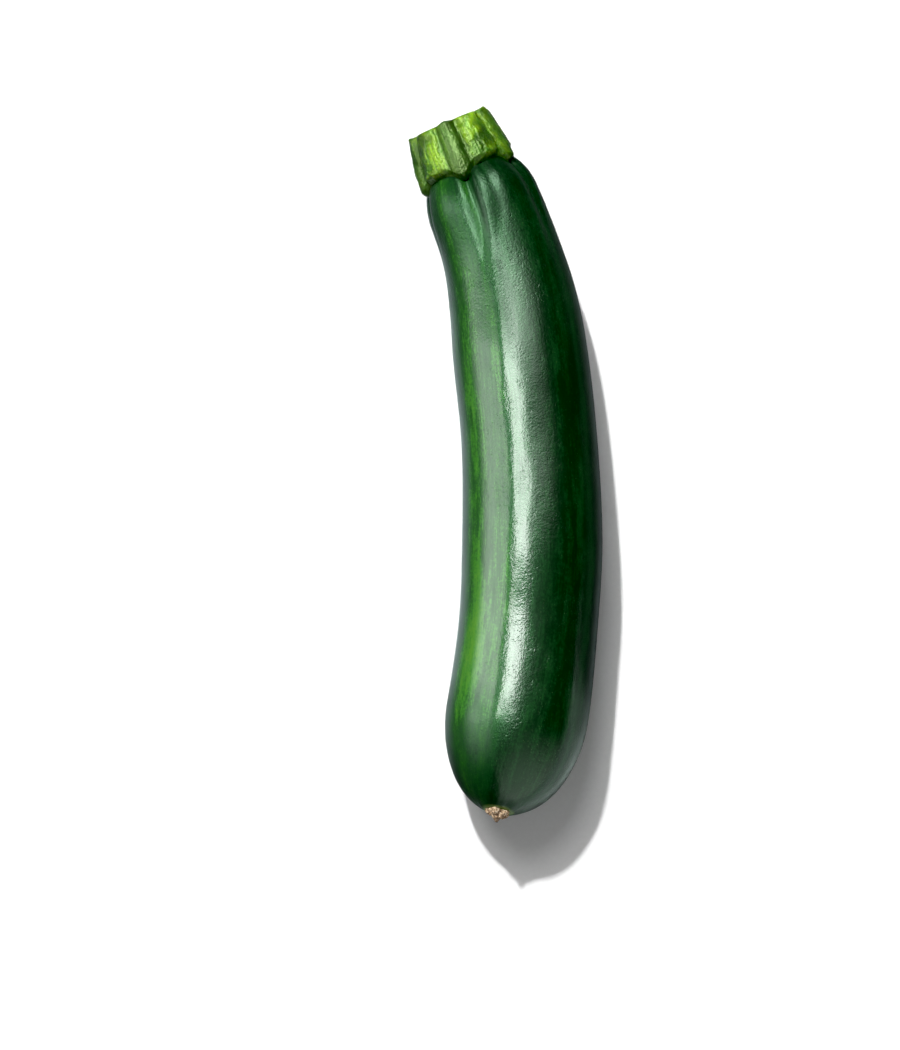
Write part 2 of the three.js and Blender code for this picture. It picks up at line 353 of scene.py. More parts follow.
def scar_seat():
    """The middle of the scar's underside, and the direction in which it looks out of the fruit."""
    tip_radius = float(station_value(RADIUS, np.array(BLOSSOM_TIP)))
    level = math.sqrt(1 - (math.hypot(SCAR_ABOVE_TIP, SCAR_BESIDE_TIP) / tip_radius) ** 2)
    along = BLOSSOM_TIP + BLOSSOM_ROUNDING * (1 - level)
    ahead, up, sideways = section_axes(along)
    outward = -ahead * level / BLOSSOM_ROUNDING
    outward = unit(outward + (up * SCAR_ABOVE_TIP + sideways * SCAR_BESIDE_TIP) / tip_radius**2)
    return middle(along) + up * SCAR_ABOVE_TIP + sideways * SCAR_BESIDE_TIP, outward


# The skin's relief. Heights, lengths and places along the fruit are in millimetres, and angles in degrees.
# A pair says where something starts and where it is full, and a triple is the size of a noise's waves.
LONG_WAVES, LONG_WAVES_SHARE = (34, 8, 8), 0.45
SHORT_WAVES = (11, 3.2, 3.2)
SHORT_WAVES_SHADED, SHORT_WAVES_PALE, PALE_SIDE = 0.55, 0.14, (-1, 9)
SHORT_WAVES_ON_FLANK, OFF_FLANK = 0.2, (-40, -8)
CALM_PLACE, CALM_HALF_LENGTH, CALM_SHARE = -33, 11, 0.75
DIMPLES = ((1.0, 2.6, 5), (0.6, 1.3, 6))

FILLED_ROUND, FILLED_ALONG = (60, 36), (60, 42)  # where the top furrow is filled
LEAN_HEIGHT, LEAN_ANGLE = 0.11, 26
LEAN_FROM_MIDDLE, LEAN_FROM_TIP = (-22, -42), (-86, -74)

CREASE_HALF_WIDTH, CREASE_BREAKS, CREASE_FROM_TIP = 2.1, (12, 60, 60), (-88, -70)
CREASE_OFF_TOP = 0.3  # the share of its depth in the furrows that are not on top

NECK_RIBS_FROM = (48, 70)
NECK_RIBS_OFF_TOP = 0.35
NECK_TURN, NECK_TURN_FROM = 8.5, (53, 68)
NECK_NARROW, NECK_NARROW_FROM = 0.6, (46, 76)
SHARP_RIB, SOFT_RIB = (0.22, -2, 2.0), (1.1, -3, 6.5)  # height, degrees from the furrow, half width
FAR_HOLLOW, NEAR_HOLLOW = (0.7, -17, 6), (1.1, 8, 4.5)
FAR_HOLLOW_FROM = (58, 67)
WRINKLE_HEIGHT, WRINKLES_FROM = 0.045, (60, 78)
WRINKLES = ((1.0, (9, 1.6, 1.6), 8), (0.5, (2.5, 1.1, 1.1), 10))

SCAR_WALL_HEIGHT, SCAR_WALL_RADIUS, SCAR_WALL_WIDTH = 0.16, 4.1, 0.7
SCAR_HOLLOW_DEPTH, SCAR_HOLLOW_RADIUS = 0.3, 3.0
SPOKE_HEIGHT, SPOKE_RADIUS, SPOKE_REACH, SPOKES_FROM = 0.07, 5, 4, (3.2, 4.5)


def ridge(values, height, place, half_width):
    """A ridge across values at one place."""
    return height * bell(values - place, half_width)


def fruit_relief(along, angle, wound, rings, sizes):
    """How far the skin stands out of the plain furrowed body, in millimetres."""
    offset, around = from_furrow(angle), from_top(angle)
    on_top = np.abs(around) < SPACING / 2

    # Long low waves, and short ones that are livelier on the shaded side of the top furrow.
    short = mix(SHORT_WAVES_SHADED, SHORT_WAVES_PALE, ramp(around, *PALE_SIDE))
    short = short * mix(SHORT_WAVES_ON_FLANK, 1.0, ramp(around, *OFF_FLANK))
    short = short * (1 - CALM_SHARE * bell(along - CALM_PLACE, CALM_HALF_LENGTH))
    waves = LONG_WAVES_SHARE * soft_noise(wound, LONG_WAVES, 3) + short * soft_noise(wound, SHORT_WAVES, 4)
    relief = sizes.skin_waves / MM * waves + sizes.skin_dimples / MM * noises(rings, DIMPLES)

    # The top furrow is hardly there below the neck, and leans over a little towards the blossom end.
    plain = fruit_radius(along, angle) - station_value(RADIUS, along) * rounding(along)
    relief -= plain * ramp(np.abs(around), *FILLED_ROUND) * ramp(along, *FILLED_ALONG)
    lean = np.sin(np.radians(np.clip(around / LEAN_ANGLE, -2, 2) * 90))
    relief += LEAN_HEIGHT * lean * ramp(along, *LEAN_FROM_MIDDLE) * ramp(along, *LEAN_FROM_TIP)

    # A fine crease runs along the bottom of each furrow, deeper and shallower by turns.
    crease = bell(offset, CREASE_HALF_WIDTH) * (0.8 + 0.4 * soft_noise(wound, CREASE_BREAKS, 7))
    crease = crease * np.where(on_top, 1.0, CREASE_OFF_TOP)
    relief -= sizes.crease_depth / MM * crease * ramp(along, *CREASE_FROM_TIP)

    # Thin ribs and hollows run from the neck's furrows up to the stalk, where the skin wrinkles.
    turned = offset + NECK_TURN * ramp(along, *NECK_TURN_FROM)
    beside = turned / mix(NECK_NARROW, 1.0, ramp(along, *NECK_NARROW_FROM))
    ribs = ridge(beside, *SHARP_RIB) + ridge(beside, *SOFT_RIB)
    hollows = ridge(beside, *FAR_HOLLOW) * ramp(along, *FAR_HOLLOW_FROM) + ridge(beside, *NEAR_HOLLOW)
    neck = ramp(along, *NECK_RIBS_FROM) * np.where(on_top, 1.0, NECK_RIBS_OFF_TOP)
    relief += sizes.neck_rib / MM * (ribs - hollows) * neck
    relief += WRINKLE_HEIGHT * noises(wound, WRINKLES) * ramp(along, *WRINKLES_FROM)

    # The scar lies in a shallow hollow with a low wall, and puckers run out from it.
    centre, _ = scar_seat()
    out = np.linalg.norm(rings - centre, axis=-1)
    relief += ridge(out, SCAR_WALL_HEIGHT, SCAR_WALL_RADIUS, SCAR_WALL_WIDTH)
    relief -= ridge(out, SCAR_HOLLOW_DEPTH, 0, SCAR_HOLLOW_RADIUS)
    spokes = np.cos(np.radians(2 * FURROWS * angle)) + 0.7 * soft_noise(wound, (60, 1.5, 1.5), 9)
    return relief - SPOKE_HEIGHT * spokes * bell(out - SPOKE_RADIUS, SPOKE_REACH) * ramp(out, *SPOKES_FROM)


# The pale bands of the skin: how pale, where round the fruit, and how wide.
TOP_BAND, TOP_BAND_START, TOP_BAND_END = 0.62, (-10, 4), (62, 40)
BANDS = ((0.16, 36, 12), (0.35, -150, 26), (0.25, 150, 22))
# The neck's darker lines are painted shade in the grooves beside its rib.
NECK_PAINTED_SHADES = ((13, 4), (-11, 5))  # darker lines beside the neck's rib, and how wide they are
NECK_SHADES_DEPTH, NECK_SHADES_FROM = 0.45, (52, 70)
GROUND_TONE = 0.06
BLOSSOM_TONE, BODY_TONE, BODY_FROM = 0.4, 0.8, (-86, -58)
PALEST_PLACE = (0.22, -52, 20)  # how much paler, where along the fruit, and how far
NECK_TONE, NECK_FROM = 0.78, (20, 60)

# How strongly the cells of the rind show.
PEBBLED_PALE, PEBBLED_SHADED, SHADED_SIDE, SHADED_END = 0.55, 0.9, (0, -14), (-150, -90)
PEBBLED_NECK, PEBBLED_NECK_FROM = 0.8, (34, 52)
SMOOTHER_PLACE = (0.28, -32, 11)


def panel_tone(along, angle):
    """How pale the skin is, from 0 on the shaded side to 1 on the side that grew in the light."""
    around = from_top(angle)
    pale = TOP_BAND * ramp(around, *TOP_BAND_START) * ramp(around, *TOP_BAND_END)
    for band in BANDS:
        pale = pale + ridge(around, *band)
    # Painted shade darkens the grooves beside the neck's rib.
    painted_shade = sum(bell(around - place, half_width) for place, half_width in NECK_PAINTED_SHADES)
    pale = pale * (1 - NECK_SHADES_DEPTH * painted_shade * ramp(along, *NECK_SHADES_FROM))
    body = mix(BLOSSOM_TONE, BODY_TONE, ramp(along, *BODY_FROM)) + ridge(along, *PALEST_PLACE)
    return GROUND_TONE + pale * body * mix(1, NECK_TONE, ramp(along, *NECK_FROM))


def pebbling(along, angle):
    """How strongly the cells of the rind show: least on the pale side, and most on the neck."""
    around = from_top(angle)
    shaded = ramp(around, *SHADED_SIDE) * ramp(around, *SHADED_END)
    pebbled = mix(PEBBLED_PALE, PEBBLED_SHADED, shaded)
    return pebbled + PEBBLED_NECK * ramp(along, *PEBBLED_NECK_FROM) - ridge(along, *SMOOTHER_PLACE)


class COURGETTE_OT_fruit(bpy.types.Operator):
    """Builds the fruit's skin: five soft furrows, a fine crease in each, and low waves under the wax"""

    bl_idname = "courgette.fruit"
    bl_label = "Fruit"

    def execute(self, context):
        sizes = context.scene.courgette_sizes
        angle, along = np.meshgrid(np.arange(FRUIT_COLUMNS) * 360 / FRUIT_COLUMNS, fruit_places())
        rings = section_point(along, angle, fruit_radius(along, angle))
        wound = wound_places(rings, angle, FRUIT_WOUND_RADIUS)
        relief = fruit_relief(along, angle, wound, rings, sizes)
        rings = rings + grid_normals(rings) * relief[..., None]
        rings[..., 2] = np.maximum(rings[..., 2], 0)
        centre, _ = scar_seat()
        values = {
            "skin_place": wound,
            "pebbled": pebbling(along, angle),
            "panel_tone": panel_tone(along, angle),
            "from_crease": np.abs(from_furrow(angle)) / (SPACING / 2),
            "from_seam": seam_place(angle) - along,
            "from_scar": np.linalg.norm(rings - centre, axis=-1),
        }
        piece = closed_skin("fruit_skin", middle(BLOSSOM_TIP), rings, middle(SHOULDER_TIP), values)
        piece.data.materials.append(waxy_rind(context.scene.courgette_colours))
        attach(piece, "root")
        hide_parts("fruit")
        return {"FINISHED"}


# ---- Stalk ----

RIB_PAINTED_SHADE = (0.0, 0.6, 0.35, 0.5, 0.55)  # how much painted shade each rib gets, from the top one towards +Y
STRANDS = 3 * FURROWS  # in the cut
STRAND_RING = 0.66  # how far out they stand, as a share of the cut's radius
STRAND_HEIGHT, STRAND_HALF_WIDTH = 0.16, 0.07
PITH_DEPTH, PITH_HALF_WIDTH = 0.5, 0.24

WART, SMALL_WART = 0.75, 0.42  # in millimetres
FIBRES = ((1.0, (5.0, 0.55, 0.55), 23), (0.5, (2.2, 0.3, 0.3), 24))
LUMPS = ((1.0, (2.6, 1.9, 1.9), 25), (0.5, 1.2, 29))


def seam_place(angle):
    """Where the stalk's edge lies on the fruit."""
    return SEAM_AT_RIBS + SEAM_ARCH * (1 - bell(from_furrow(angle), SEAM_DIP_HALF_WIDTH))


def stalk_radius(along, angle):
    """Panels between five main ribs, each rib between two grooves, flaring to the fruit."""
    offset = from_furrow(angle)
    down = np.clip((STALK_CUT - along) / (STALK_CUT - SEAM_AT_RIBS), 0, 1)
    panel = mix(STALK_CUT_RADIUS, STALK_BASE_RADIUS, np.sin(down * math.pi / 2))
    rib = ridge(offset, STALK_RIB, 0, STALK_RIB_HALF_WIDTH)
    groove = ridge(np.abs(offset), STALK_GROOVE, STALK_GROOVE_ANGLE, STALK_GROOVE_HALF_WIDTH)
    swell = ridge(np.abs(offset), STALK_PANEL_RIDGE, SPACING / 2, STALK_PANEL_RIDGE_HALF_WIDTH)
    return panel + rib + swell - groove * (1 - STALK_GROOVE_FADE * down)


def cut_place(angle):
    """Where the cut ends the stalk: the stringy main ribs stand a little proud."""
    return STALK_CUT + ridge(from_furrow(angle), STALK_CUT_RISE, 0, STALK_RIB_HALF_WIDTH)


def stalk_rings():
    """The stalk's rings from deep in its hollow over the seam and the outside to the middle of the cut.

    Returns the rings, their angles, and how each lies: below 0 in the hollow, 0 to 1 up the outside,
    and 1 to 2 from the rim of the cut to its middle.
    """
    hollow = np.linspace(0.97, 0, STALK_HOLLOW_RINGS)
    side = np.linspace(0, 1, STALK_SIDE_RINGS + 1)[1:]
    cut = np.linspace(1, 0, STALK_CUT_RINGS + 1)[:-1] ** 0.8
    columns = np.arange(STALK_COLUMNS) * 360 / STALK_COLUMNS
    angle, share = np.meshgrid(columns, hollow)
    along = mix(seam_place(angle), SHOULDER_TIP, share)
    inside = section_point(along, angle, fruit_radius(along, angle) + STALK_OVER_SKIN)
    angle, share = np.meshgrid(columns, side)
    rim = cut_place(angle) - STALK_CUT_BEVEL
    along = mix(seam_place(angle), rim, share)
    tucked = 1 - np.minimum((along - seam_place(angle)) / STALK_LIP, 1)
    outside = stalk_radius(along, angle)
    skin = np.minimum(outside, fruit_radius(along, angle) + STALK_OVER_SKIN)
    outer = section_point(along, angle, mix(outside, skin, tucked**2))
    angle, share = np.meshgrid(columns, cut)
    along = mix(STALK_CUT - CUT_DISH, cut_place(angle), share**3)
    face = section_point(along, angle, (stalk_radius(STALK_CUT, angle) - STALK_CUT_BEVEL) * share)
    lies = np.concatenate([-hollow, side, 2 - cut])
    angle, lies = np.meshgrid(columns, lies)
    return np.concatenate([inside, outer, face]), angle, lies


def stalk_relief(rings, wound, angle, lies, sizes):
    """Grain of the stalk: warty panels low down, long fibres higher up, and a fibrous cut face.

    Returns the whole relief in millimetres, and the height of the grain alone, from about -1 to 1.
    """
    on_side = ramp(lies, 0.0, 0.06) * ramp(lies, 1.0, 0.97)
    on_top = np.abs(from_top(angle)) < SPACING / 2
    on_panel = np.where(on_top, ramp(np.abs(from_furrow(angle)), 14, 20), 1.0)
    low_down = ramp(lies, 0.75, 0.2)
    warts = np.maximum(soft_noise(rings, WART, 21), -0.2) + 0.6 * soft_noise(rings, SMALL_WART, 22)
    grain = mix(0.35, 1.0, on_panel) * (mix(0.2, 0.6, low_down) * warts + noises(rings, LUMPS))
    grain = (grain + 0.4 * noises(wound, FIBRES)) * on_side
    # The strands stand up in the cut face, and the pith in its middle has sunk.
    on_cut = ramp(lies, 1.0, 1.06)
    share = 2 - np.maximum(lies, 1)
    strands = np.maximum(np.cos(np.radians(STRANDS * angle)), 0) ** 2
    strands = strands * bell(share - STRAND_RING, STRAND_HALF_WIDTH)
    face = STRAND_HEIGHT * strands + 0.07 * soft_noise(rings, 0.5, 26) + 0.05 * soft_noise(rings, 1.4, 27)
    pith = -PITH_DEPTH * bell(share, PITH_HALF_WIDTH) * (1 + 0.4 * soft_noise(rings, 0.9, 28))
    return sizes.stalk_grain / MM * grain + on_cut * (face + pith), grain


def painted_groove_shade(angle):
    """How much painted shade lies in the grooves beside the ribs: the one on the -Y side is wide, the other
    narrow.
    """
    offset = from_furrow(angle)
    shade = np.maximum(ridge(offset, 1.0, -12, 6), ridge(offset, 0.7, 13, 3.5))
    return shade * np.where(np.abs(from_top(angle)) < SPACING / 2, 1.0, 0.5)


class COURGETTE_OT_stalk(bpy.types.Operator):
    """Builds the ribbed stalk with its warty panels, and the cut face with its ring of strands"""

    bl_idname = "courgette.stalk"
    bl_label = "Stalk"

    def execute(self, context):
        sizes = context.scene.courgette_sizes
        rings, angle, lies = stalk_rings()
        wound = wound_places(rings, angle, STALK_WOUND_RADIUS)
        relief, grain = stalk_relief(rings, wound, angle, lies, sizes)
        rings = rings + grid_normals(rings) * relief[..., None]
        values = {
            "stalk_place": wound,
            "from_rib": np.abs(from_furrow(angle)) / (SPACING / 2),
            "top_rib": bell(from_top(angle), TOP_RIB_HALF_WIDTH),
            "rib_painted_shade": np.array(RIB_PAINTED_SHADE)[(np.round(angle / SPACING) % FURROWS).astype(int)],
            "up_stalk": lies,
            "grain_height": grain,
            "in_groove_painted_shade": painted_groove_shade(angle),
            "cut_share": 2 - np.maximum(lies, 1),
            "round_stalk": angle,
        }
        first, last = middle(SHOULDER_TIP + STALK_OVER_SKIN), rings[-1].mean(0)
        piece = closed_skin("stalk_rind", first, rings, last, values)
        colours = context.scene.courgette_colours
        piece.data.materials.append(fibrous_rind(colours))
        piece.data.materials.append(knife_cut_flesh(colours))
        # Every ring of faces on the cut, and the fan that closes it, is flesh.
        on_cut = (lies[:-1, 0] + lies[1:, 0]) / 2 > 1
        caps = [np.zeros(STALK_COLUMNS, bool), np.ones(STALK_COLUMNS, bool)]
        slots = np.concatenate([np.repeat(on_cut, STALK_COLUMNS), *caps])
        piece.data.polygons.foreach_set("material_index", slots.astype(np.int32))
        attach(piece, "root")
        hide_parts("stalk")
        return {"FINISHED"}


# ---- Scar ----

SCAR_RAGGED = ((0.05, 0.8, 31), (0.04, 0.3, 32))
SCAR_ROUGH = ((1.0, 0.9, 33), (0.7, 0.4, 34), (0.4, 0.2, 35))


def scar_rings():
    """The scar's rings in its own frame, where +X looks out of the fruit, and their heights."""
    under = np.linspace(0.1, 1, SCAR_UNDER_RINGS)
    top = np.linspace(1, 0.0, SCAR_TOP_RINGS + 2)[1:-1]
    columns = np.arange(SCAR_COLUMNS) * 360 / SCAR_COLUMNS
    angle, share = np.meshgrid(columns, np.concatenate([under, top]))
    on_top = (np.arange(len(under) + len(top)) >= len(under))[:, None]
    lump = np.cos(np.radians(SCAR_LUMPS * angle))
    turned = np.radians(angle)
    circle = np.stack([0 * angle, np.sin(turned), np.cos(turned)], -1)
    edge = circle * SCAR_RADIUS
    distance = share * SCAR_RADIUS * (1 + SCAR_OUTLINE_SHARE * lump + noises(edge, SCAR_RAGGED))
    tip_curve = station_value(RADIUS, np.array(BLOSSOM_TIP)) ** 2 / BLOSSOM_ROUNDING
    lumps = SCAR_HEIGHT * (1 - SCAR_LUMP_SHARE * (1 - lump) * share)
    body = np.sqrt(1 - share**4) * lumps * mix(SCAR_MIDDLE_SHARE, 1, share)
    rise = np.where(on_top, body + ridge(distance, STYLE_HEIGHT, 0, STYLE_RADIUS), 0)
    flat = circle * distance[..., None]
    rough = SCAR_ROUGHNESS * noises(flat, SCAR_ROUGH) * ramp(share, 1.0, 0.93)
    rise = rise + np.where(on_top, rough, 0)
    flat[..., 0] = rise - distance**2 / (2 * tip_curve)
    return flat, rise


class COURGETTE_OT_blossom_scar(bpy.types.Operator):
    """Builds the corky scar: the torn bases of the petals round the dried stub of the style"""

    bl_idname = "courgette.blossom_scar"
    bl_label = "Blossom scar"

    def execute(self, context):
        rings, rise = scar_rings()
        seat, outward = scar_seat()
        turn = np.array(Vector((1, 0, 0)).rotation_difference(Vector(outward)).to_matrix())
        placed = rings @ turn.T + seat
        # These rings run away from +X, so they are reversed to keep the skin outward.
        values = {"scar_place": rings[::-1], "scar_rise": rise[::-1]}
        piece = closed_skin("blossom_cork", placed[-1].mean(0), placed[::-1], seat, values)
        piece.data.materials.append(dried_cork(context.scene.courgette_colours))
        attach(piece, "root")
        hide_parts("blossom_scar")
        return {"FINISHED"}


# ---- Materials ----

MIX_GAP = (None,) * 5  # the sockets between a mix node's share and its two colours
NOISE_SPAN = (0.3, 0.7)  # nearly all of a noise lies between these

# How thick the wax is, as places in millimetres from the stalk's edge and shares of a full coat.
WAX_SPAN = 160
WAX = ((16, 0.1), (40, 0.72), (95, 0.85), (118, 1.0), (137, 1.0), (145, 0.38))


def add_node(tree, kind, *inputs, **named):
    """Adds a node, sets its settings, and sets or links its input sockets. Returns the node.

    inputs fill the sockets in order, where None leaves one as it is. Of the named values, those with a
    capital letter go to the socket of that name, with its spaces written as underscores, and the others are
    settings. A node given for a socket stands for its first output in use.
    """
    node = tree.nodes.new("ShaderNode" + kind)
    for name, value in named.items():
        if name[0].islower():
            setattr(node, name, value)
    sockets = dict(enumerate(inputs))
    sockets.update((name.replace("_", " "), value) for name, value in named.items() if name[0].isupper())
    for name, value in sockets.items():
        if isinstance(value, bpy.types.Node):
            value = next(output for output in value.outputs if output.enabled)
        if isinstance(value, bpy.types.NodeSocket):
            tree.links.new(value, node.inputs[name])
        elif value is not None:
            node.inputs[name].default_value = value
    node.location = (220 * (len(tree.nodes) % 12), -260 * (len(tree.nodes) // 12))
    return node


def empty_nodes(holder):
    """Clears the nodes of a material, lamp or world. Returns what adds a node to it."""
    holder.use_nodes = True
    holder.node_tree.nodes.clear()
    return functools.partial(add_node, holder.node_tree)


def point_values(add, *names, output="Fac"):
    """What the mesh gives its points under these names."""
    return [add("Attribute", attribute_name=name).outputs[output] for name in names]


def stretched(add, place, length, width):
    """A place for patterns whose marks are to be this long and wide, in millimetres."""
    return add("VectorMath", place, (1 / length, 1 / width, 1 / width), operation="MULTIPLY")


def set_stops(ramp, *stops):
    """Sets the colours of a ramp at their positions, which are given in order."""
    elements = ramp.color_ramp.elements
    elements[0].position, elements[0].color = stops[0]
    elements[1].position, elements[1].color = stops[-1]
    for position, colour in stops[1:-1]:
        elements.new(position).color = colour


def cover(add, ground, *layers):
    """Lays colours over a ground, one after another.

    Each layer has a value, its span and its colour. The span says at which value the layer starts, at which
    it is full, and how much it covers there. With no span the value itself is what it covers.
    """
    for value, span, colour in layers:
        if span:
            start, full, most = span
            value = add("MapRange", value, start, full, 0.0, most)
        ground = add("Mix", value, *MIX_GAP, ground, colour, data_type="RGBA")
    return ground


def waxy_rind(colours):
    """Living courgette rind under its own wax: soft dark green cells with a thin clear coat.

    The wax gives the long clear reflections, and the cells under it break their edges up into specks.
    """
    material = bpy.data.materials.new("Courgette rind, naturally waxed")
    add = empty_nodes(material)
    (place,) = point_values(add, "skin_place", output="Vector")
    solid = add("TexCoord").outputs["Object"]
    names = ("panel_tone", "from_crease", "from_seam", "from_scar", "pebbled")
    tone, crease, seam, scar, pebbled = point_values(add, *names)

    # Broad and fine lengthwise stripes, mottling of 0.8 mm, and drifts. Each moves the tone a little.
    stripes = add("TexNoise", Vector=stretched(add, place, 34, 3.6), Scale=1.0, Detail=2.0)
    striae = add("TexNoise", Vector=stretched(add, place, 9, 0.5), Scale=1.0, Detail=3.0)
    mottle = add("TexNoise", Vector=solid, Scale=1300.0, Detail=3.0, Roughness=0.7)
    drifts = stretched(add, place, 7, 2.2)
    drifts = add("TexNoise", Vector=drifts, Scale=1.0, Detail=3.0, Roughness=0.6)
    for marks, swing in ((stripes, 0.14), (striae, 0.1), (mottle, 0.15), (drifts, 0.13)):
        change = add("MapRange", marks, *NOISE_SPAN, -swing, swing)
        tone = add("Math", tone, change, operation="ADD")
    green = add("ValToRGB", tone)
    set_stops(
        green,
        (0.0, colours.rind_deep),
        (0.3, colours.rind_dark),
        (0.6, colours.rind_leaf),
        (0.8, colours.rind_pale),
        (1.0, colours.rind_bright),
    )

    # Pale flecks, 0.3 to 0.5 mm across and about a millimetre apart, in patches of 8 mm.
    fleck = add("TexVoronoi", Vector=stretched(add, place, 1.2, 0.8), Scale=1.0)
    fleck = add("MapRange", fleck, 0.2, 0.04, 0.0, 0.14)
    patch = add("TexNoise", Vector=solid, Scale=130.0, Detail=1.0)
    here = add("MapRange", patch, *NOISE_SPAN)
    fleck = add("Math", fleck, here, operation="MULTIPLY")

    # Painted shade makes the crease darker and the seam deep green under the stalk's edge, and the skin
    # yellows in a thin ring round the scar.
    coloured = cover(
        add,
        green,
        (fleck, None, colours.rind_fleck),
        (crease, (0.13, 0.02, 0.55), colours.rind_dark),
        (scar, (4.8, 3.4, 0.8), colours.rind_streak),
        (seam, (0.5, 0.0, 0.7), colours.rind_deep),
    )

    # Cells of the rind, drawn 0.6 mm across where the real ones are 0.05 mm, so that they show. They lie on
    # low swells of 1.6 mm, with pits of 0.9 mm in patches of 4 mm.
    height = add("TexNoise", Vector=solid, Scale=1800.0, Detail=1.0)
    swells = add("TexNoise", Vector=solid, Scale=620.0, Detail=1.0)
    for marks, share in ((striae, 0.1), (swells, 0.7)):
        part = add("Math", marks, share, operation="MULTIPLY")
        height = add("Math", height, part, operation="ADD")
    pits = add("TexNoise", Vector=solid, Scale=1150.0, Detail=2.0, Roughness=0.6)
    pits = add("MapRange", pits, 0.55, 0.72, 0.0, 0.9)
    pitted = add("TexNoise", Vector=solid, Scale=260.0, Detail=2.0)
    pitted = add("MapRange", pitted, 0.4, 0.66)
    pits = add("Math", pits, pitted, operation="MULTIPLY")
    height = add("Math", height, pits, operation="SUBTRACT")
    bump = add("Bump", Height=height, Strength=pebbled, Distance=0.000042)

    # The wax is thin by the stalk and round the blossom end, and a little streaky.
    waxed = add("Math", seam, WAX_SPAN, operation="DIVIDE")
    waxed = add("ValToRGB", waxed)
    set_stops(waxed, *((distance / WAX_SPAN, (share, share, share, 1)) for distance, share in WAX))
    uneven = add("MapRange", striae, 0.36, 0.55, 0.84, 1.0)
    waxed = add("Math", waxed, uneven, operation="MULTIPLY")

    # Under it the skin is dull, by a little more in patches and away from the stalk.
    by_seam = add("MapRange", seam, 45.0, 8.0, 0.33, 0.31)
    cloudy = add("MapRange", patch, *NOISE_SPAN, -0.03, 0.03)
    shader = add(
        "BsdfPrincipled",
        Base_Color=coloured,
        Roughness=add("Math", by_seam, cloudy, operation="ADD"),
        IOR=1.45,
        Specular_IOR_Level=0.42,
        Specular_Tint=linear("#b2f0bf"),
        Normal=bump,
        Coat_Weight=waxed,
        Coat_Normal=bump,
        Coat_Roughness=0.08,
        Coat_IOR=1.4,
    )
    add("OutputMaterial", Surface=shader)
    return material


def fibrous_rind(colours):
    """Rind of the cut stalk: stringy and unwaxed, so it is brighter, yellower and duller than the fruit."""
    material = bpy.data.materials.new("Stalk rind, fibrous")
    add = empty_nodes(material)
    (place,) = point_values(add, "stalk_place", output="Vector")
    solid = add("TexCoord").outputs["Object"]
    names = ("from_rib", "up_stalk", "rib_painted_shade", "grain_height", "in_groove_painted_shade", "top_rib")
    rib, up, dark, grain, groove, top_rib = point_values(add, *names)

    # Fibres and blotches run along the stalk. Clouds are 2 mm across, warts 0.8 mm and patches 5 mm.
    fibres = add("TexNoise", Vector=stretched(add, place, 6, 0.5), Scale=1.0, Detail=3.0)
    blotches = add("TexNoise", Vector=stretched(add, place, 2.6, 1.2), Scale=1.0, Detail=3.0)
    clouds = add("TexNoise", Vector=solid, Scale=420.0, Detail=3.0)
    warts = add("TexVoronoi", Vector=solid, Scale=1300.0)
    patches = add("TexNoise", Vector=solid, Scale=190.0, Detail=1.0)

    # Each mark: what it follows, where it starts, where it is full, and how much it covers there.
    marks = {
        "towards the cut": (up, 0.7, 0.95, 0.85),
        "in clouds": (clouds, 0.38, 0.62, 1.0),
        "on the warts": (grain, -0.1, 0.8, 0.6),
        "between fibres": (fibres, 0.52, 0.38, 0.5),
        "in the pits": (grain, 0.0, -0.8, 0.5),
        "on the ribs": (rib, 0.5, 0.1, 1.0),
        "low down": (up, 0.6, 0.1, 0.9),
        "at the edge": (up, 0.26, 0.02, 0.85),
        "in patches": (patches, 0.49, 0.62, 0.66),
    }
    for name, (value, start, full, most) in marks.items():
        marks[name] = add("MapRange", value, start, full, 0.0, most)
    off_rib = add("Math", 1.0, top_rib, operation="SUBTRACT")
    # Painted shade in the grooves beside the ribs.
    in_groove_painted_shade = add("Math", groove, 0.9, operation="MULTIPLY")

    # Lime lies towards the cut, and on the wart tops as painted light. Painted shade darkens the grooves and
    # the pits, and the rind is darker between fibres. Painted shade also darkens the outer ribs, the foot of
    # the ribs where they run into the fruit (all the top one gets), and the stalk's lower edge, where the
    # rind is a darker green too. Dark patches lie at random.
    lime, shade, dried = marks["towards the cut"], marks["between fibres"], dark
    for operation, other in (
        ("MULTIPLY", marks["in clouds"]),
        ("MAXIMUM", marks["on the warts"]),
        ("MULTIPLY", off_rib),
    ):
        lime = add("Math", lime, other, operation=operation)
    for other in (marks["in the pits"], in_groove_painted_shade):
        shade = add("Math", shade, other, operation="MAXIMUM")
    # dried is painted shade on the ribs and at the lower edge, together with the rind's own dark patches.
    for operation, other in (
        ("MAXIMUM", marks["low down"]),
        ("MULTIPLY", marks["on the ribs"]),
        ("MAXIMUM", marks["at the edge"]),
        ("MAXIMUM", marks["in patches"]),
    ):
        dried = add("Math", dried, other, operation=operation)
    coloured = cover(
        add,
        colours.stalk_leaf,
        (blotches, (0.44, 0.6, 0.9), colours.stalk_pale),
        (top_rib, None, colours.stalk_rib),
        (lime, None, colours.stalk_lime),
        (shade, None, colours.stalk_groove),
        (dried, None, colours.stalk_groove),
    )
    height = add("Math", fibres, warts, operation="SUBTRACT")
    shader = add(
        "BsdfPrincipled",
        Base_Color=coloured,
        Roughness=0.31,
        IOR=1.45,
        Specular_IOR_Level=0.55,
        Specular_Tint=linear("#e4ffb4"),
        Normal=add("Bump", Height=height, Strength=1.0, Distance=0.0001),
        Subsurface_Weight=0.12,
        Subsurface_Radius=(0.3, 1.0, 0.2),
        Subsurface_Scale=0.0012,
    )
    add("OutputMaterial", Surface=shader)
    return material


